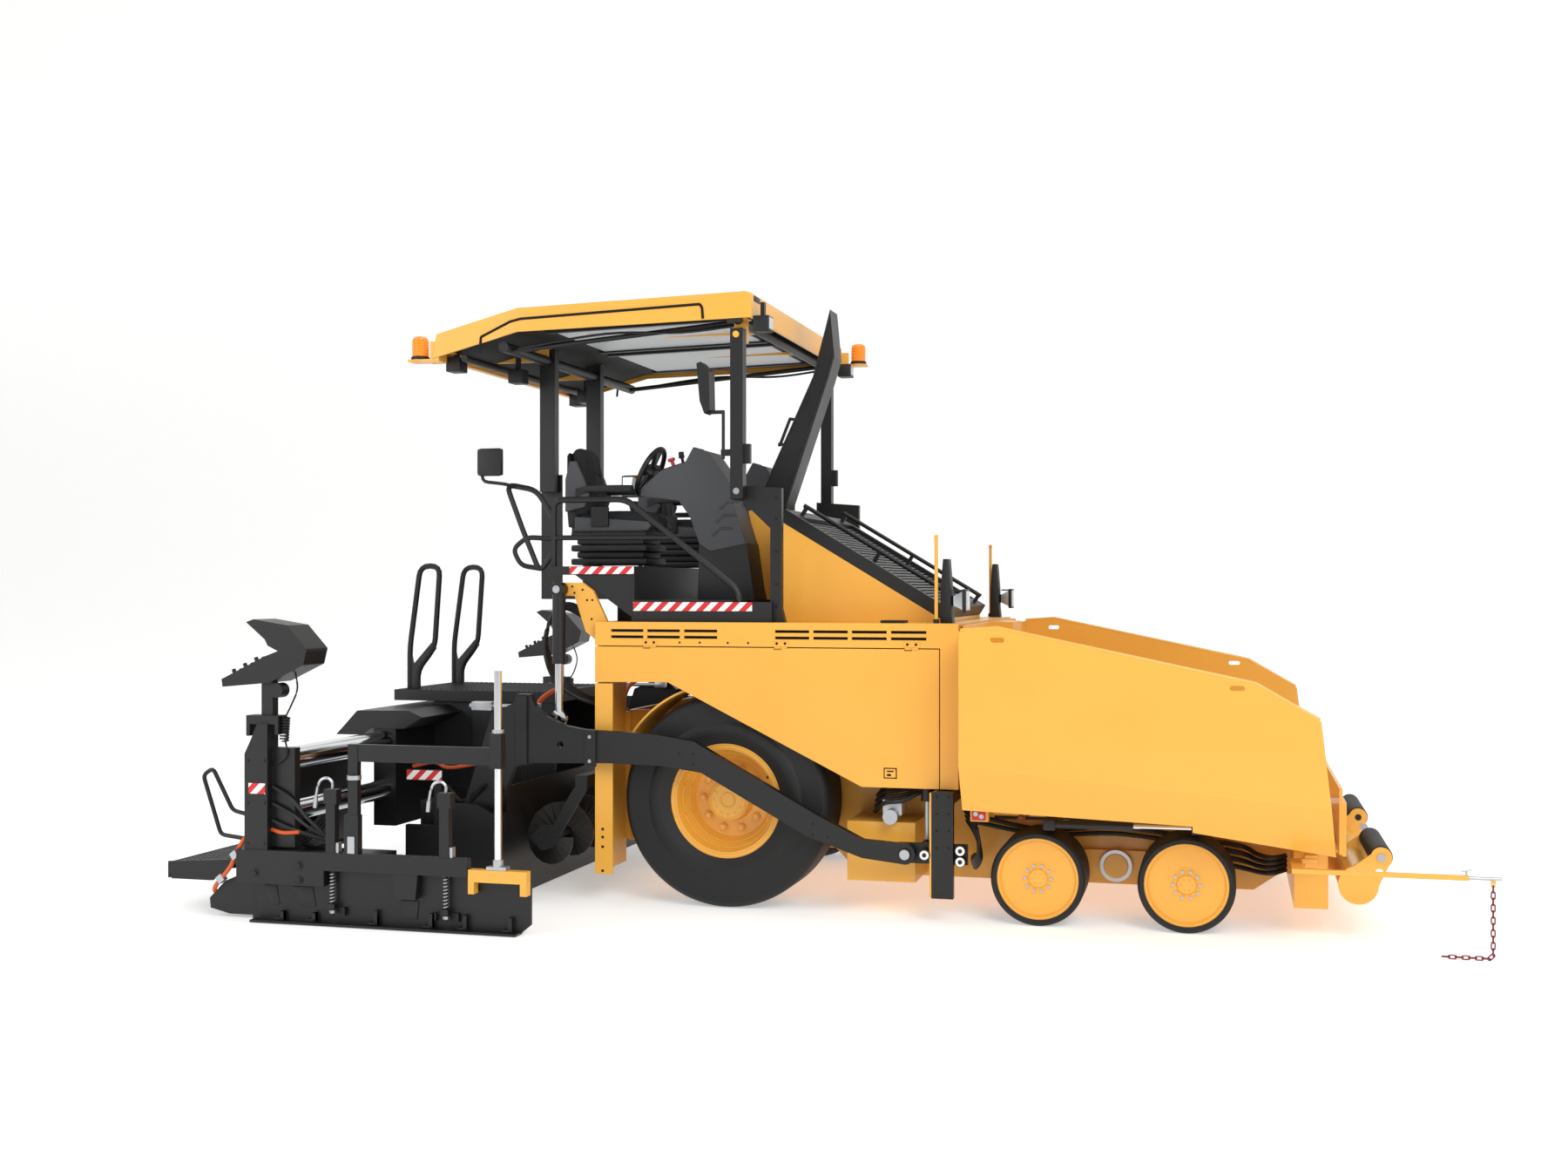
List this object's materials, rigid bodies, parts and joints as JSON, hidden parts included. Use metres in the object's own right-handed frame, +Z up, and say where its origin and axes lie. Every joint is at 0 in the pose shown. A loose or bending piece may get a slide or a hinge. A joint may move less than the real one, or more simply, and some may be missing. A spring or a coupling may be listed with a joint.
{
  "type": "wheeled asphalt paver",
  "caption": "Wheeled asphalt paver with folding hopper wings, slat conveyors, augers, a folding canopy and a towed extending screed.",
  "frame": {"origin": "on the ground, midway between the footplates' rear edge and the guide rod's tip, in the machine's middle plane", "axes": "+X forwards, +Y to the machine's left, +Z up"},
  "size_m": [7.69, 4.63, 3.85],
  "materials": {
    "yellow_paint": "gloss",
    "black_paint": "satin",
    "wear_steel": "worn",
    "chrome_rod": "polished",
    "tyre_rubber": "matte",
    "rubber": "matte",
    "engine_iron": "matte",
    "grey_plastic": "matte",
    "seat_fabric": "matte",
    "red_chain": "satin",
    "amber_lens": "gloss"
  },
  "bodies": {
    "tractor": {"chassis": "yellow_paint", "axles": "yellow_paint", "engine_block": "engine_iron", "body_shell": "yellow_paint", "hood": "yellow_paint", "hood_grille": "black_paint", "vent_stack": "black_paint", "platform": "black_paint", "handrails": "black_paint", "seats": "seat_fabric", "consoles": "grey_plastic", "deck_lamps": "black_paint", "tow_guides": "black_paint", "auger_frame": "black_paint", "conveyor": "wear_steel", "pusher_frame": "yellow_paint", "guide_bar": "yellow_paint", "guide_chain": "red_chain"},
    "drive_wheel_left": {"drive_tyre_left": "tyre_rubber", "drive_rim_left": "yellow_paint"},
    "drive_wheel_right": {"drive_tyre_right": "tyre_rubber", "drive_rim_right": "yellow_paint"},
    "steer_fl": {"knuckle_fl": "black_paint"},
    "front_wheel_fl": {"front_tyre_fl": "tyre_rubber", "front_disc_fl": "yellow_paint"},
    "steer_fr": {"knuckle_fr": "black_paint"},
    "front_wheel_fr": {"front_tyre_fr": "tyre_rubber", "front_disc_fr": "yellow_paint"},
    "steer_rl": {"knuckle_rl": "black_paint"},
    "front_wheel_rl": {"front_tyre_rl": "tyre_rubber", "front_disc_rl": "yellow_paint"},
    "steer_rr": {"knuckle_rr": "black_paint"},
    "front_wheel_rr": {"front_tyre_rr": "tyre_rubber", "front_disc_rr": "yellow_paint"},
    "wing_left": {"wing_left": "yellow_paint"},
    "wing_right": {"wing_right": "yellow_paint"},
    "apron": {"apron": "yellow_paint"},
    "push_roller_left": {"push_roller_left": "rubber"},
    "push_roller_right": {"push_roller_right": "rubber"},
    "side_door_left": {"side_door_left": "yellow_paint"},
    "side_door_right": {"side_door_right": "yellow_paint"},
    "auger_left": {"auger_left": "wear_steel"},
    "auger_right": {"auger_right": "wear_steel"},
    "tow_points": {"tow_blocks": "black_paint"},
    "screed": {"tow_arms": "black_paint", "screed_frame": "black_paint"},
    "lift_barrels": {"lift_barrels": "black_paint"},
    "lift_rods": {"lift_rods": "chrome_rod"},
    "extension_left": {"extension_left": "black_paint", "screed_tubes_left": "chrome_rod", "grade_bracket_left": "yellow_paint"},
    "end_gate_left": {"end_gate_left": "black_paint"},
    "extension_right": {"extension_right": "black_paint", "screed_tubes_right": "chrome_rod", "grade_bracket_right": "yellow_paint"},
    "end_gate_right": {"end_gate_right": "black_paint"},
    "canopy_front": {"canopy_front_posts": "black_paint"},
    "canopy_rear": {"canopy_rear_posts": "black_paint"},
    "canopy_roof": {"canopy_roof": "yellow_paint", "canopy_lights": "amber_lens"}
  },
  "joints": [
    {"name": "drive_left", "type": "hinge", "parent": "tractor", "child": "drive_wheel_left", "pos_m": [-0.555, 0.9775, 0.66], "axis": [0, 1, 0], "continuous": true},
    {"name": "drive_right", "type": "hinge", "parent": "tractor", "child": "drive_wheel_right", "pos_m": [-0.555, -0.9775, 0.66], "axis": [0, 1, 0], "continuous": true},
    {"name": "steer_fl", "type": "hinge", "parent": "tractor", "child": "steer_fl", "pos_m": [2.217, 0.81, 0.275], "axis": [0, 0, 1], "range_deg": [-18, 18]},
    {"name": "roll_fl", "type": "hinge", "parent": "steer_fl", "child": "front_wheel_fl", "pos_m": [2.217, 1.072, 0.275], "axis": [0, 1, 0], "continuous": true},
    {"name": "steer_fr", "type": "hinge", "parent": "tractor", "child": "steer_fr", "pos_m": [2.217, -0.81, 0.275], "axis": [0, 0, 1], "range_deg": [-18, 18]},
    {"name": "roll_fr", "type": "hinge", "parent": "steer_fr", "child": "front_wheel_fr", "pos_m": [2.217, -1.072, 0.275], "axis": [0, 1, 0], "continuous": true},
    {"name": "steer_rl", "type": "hinge", "parent": "tractor", "child": "steer_rl", "pos_m": [1.371, 0.81, 0.275], "axis": [0, 0, 1], "range_deg": [-12.6, 12.6]},
    {"name": "roll_rl", "type": "hinge", "parent": "steer_rl", "child": "front_wheel_rl", "pos_m": [1.371, 1.072, 0.275], "axis": [0, 1, 0], "continuous": true},
    {"name": "steer_rr", "type": "hinge", "parent": "tractor", "child": "steer_rr", "pos_m": [1.371, -0.81, 0.275], "axis": [0, 0, 1], "range_deg": [-12.6, 12.6]},
    {"name": "roll_rr", "type": "hinge", "parent": "steer_rr", "child": "front_wheel_rr", "pos_m": [1.371, -1.072, 0.275], "axis": [0, 1, 0], "continuous": true},
    {"name": "wing_left_fold", "type": "hinge", "parent": "tractor", "child": "wing_left", "pos_m": [1.945, 0.56, 0.6], "axis": [1, 0, 0], "range_deg": [0, 40]},
    {"name": "wing_right_fold", "type": "hinge", "parent": "tractor", "child": "wing_right", "pos_m": [1.945, -0.56, 0.6], "axis": [-1, 0, 0], "range_deg": [0, 40]},
    {"name": "apron_tilt", "type": "hinge", "parent": "tractor", "child": "apron", "pos_m": [3.045, 0, 0.5], "axis": [0, 1, 0], "range_deg": [0, 45]},
    {"name": "push_roll_left", "type": "hinge", "parent": "tractor", "child": "push_roller_left", "pos_m": [3.271, 0.851, 0.478], "axis": [0, 1, 0], "continuous": true},
    {"name": "push_roll_right", "type": "hinge", "parent": "tractor", "child": "push_roller_right", "pos_m": [3.271, -0.851, 0.478], "axis": [0, 1, 0], "continuous": true},
    {"name": "door_left", "type": "hinge", "parent": "tractor", "child": "side_door_left", "pos_m": [-0.295, 1.25, 1.614], "axis": [1, 0, 0], "range_deg": [0, 70]},
    {"name": "door_right", "type": "hinge", "parent": "tractor", "child": "side_door_right", "pos_m": [-0.295, -1.25, 1.614], "axis": [-1, 0, 0], "range_deg": [0, 70]},
    {"name": "auger_turn_left", "type": "hinge", "parent": "tractor", "child": "auger_left", "pos_m": [-1.745, 0.64, 0.4], "axis": [0, 1, 0], "continuous": true},
    {"name": "auger_turn_right", "type": "hinge", "parent": "tractor", "child": "auger_right", "pos_m": [-1.745, -0.64, 0.4], "axis": [0, 1, 0], "continuous": true},
    {"name": "tow_lift", "type": "slide", "parent": "tractor", "child": "tow_points", "axis": [0, 0, 1], "range_m": [-0.12, 0.15]},
    {"name": "screed_lift", "type": "hinge", "parent": "tow_points", "child": "screed", "pos_m": [0.604, 0, 0.404], "axis": [0, 1, 0], "range_deg": [0, 6]},
    {"name": "lift_swing", "type": "hinge", "parent": "tractor", "child": "lift_barrels", "pos_m": [-1.625, 0, 1.968], "axis": [0, -1, 0], "range_deg": [0, 8.2]},
    {"name": "lift_stroke", "type": "slide", "parent": "lift_barrels", "child": "lift_rods", "axis": [0, 0, 1], "range_m": [0, 0.223]},
    {"name": "extend_left", "type": "slide", "parent": "screed", "child": "extension_left", "axis": [0, 1, 0], "range_m": [-0.75, 0.7]},
    {"name": "gate_left_lift", "type": "slide", "parent": "extension_left", "child": "end_gate_left", "axis": [0, 0, 1], "range_m": [0, 0.15]},
    {"name": "extend_right", "type": "slide", "parent": "screed", "child": "extension_right", "axis": [0, -1, 0], "range_m": [-0.75, 0.7]},
    {"name": "gate_right_lift", "type": "slide", "parent": "extension_right", "child": "end_gate_right", "axis": [0, 0, 1], "range_m": [0, 0.15]},
    {"name": "canopy_fold", "type": "hinge", "parent": "tractor", "child": "canopy_front", "pos_m": [-0.465, 0, 2.57], "axis": [0, -1, 0], "range_deg": [0, 60]},
    {"name": "canopy_rear_fold", "type": "hinge", "parent": "tractor", "child": "canopy_rear", "pos_m": [-2.03, 0, 2.68], "axis": [0, -1, 0], "range_deg": [0, 60]},
    {"name": "canopy_roof_level", "type": "hinge", "parent": "canopy_front", "child": "canopy_roof", "pos_m": [-0.465, 0, 3.53], "axis": [0, 1, 0], "range_deg": [0, 60]}
  ],
  "couplings": [
    {"joint": "steer_fr", "follows": "steer_fl", "ratio": 1},
    {"joint": "steer_rl", "follows": "steer_fl", "ratio": 0.7},
    {"joint": "steer_rr", "follows": "steer_fl", "ratio": 0.7},
    {"joint": "lift_swing", "follows": "screed_lift", "ratio": 1.35},
    {"joint": "lift_stroke", "follows": "screed_lift", "m_per_rad": 2.12},
    {"joint": "canopy_rear_fold", "follows": "canopy_fold", "ratio": 1},
    {"joint": "canopy_roof_level", "follows": "canopy_fold", "ratio": 1}
  ]
}
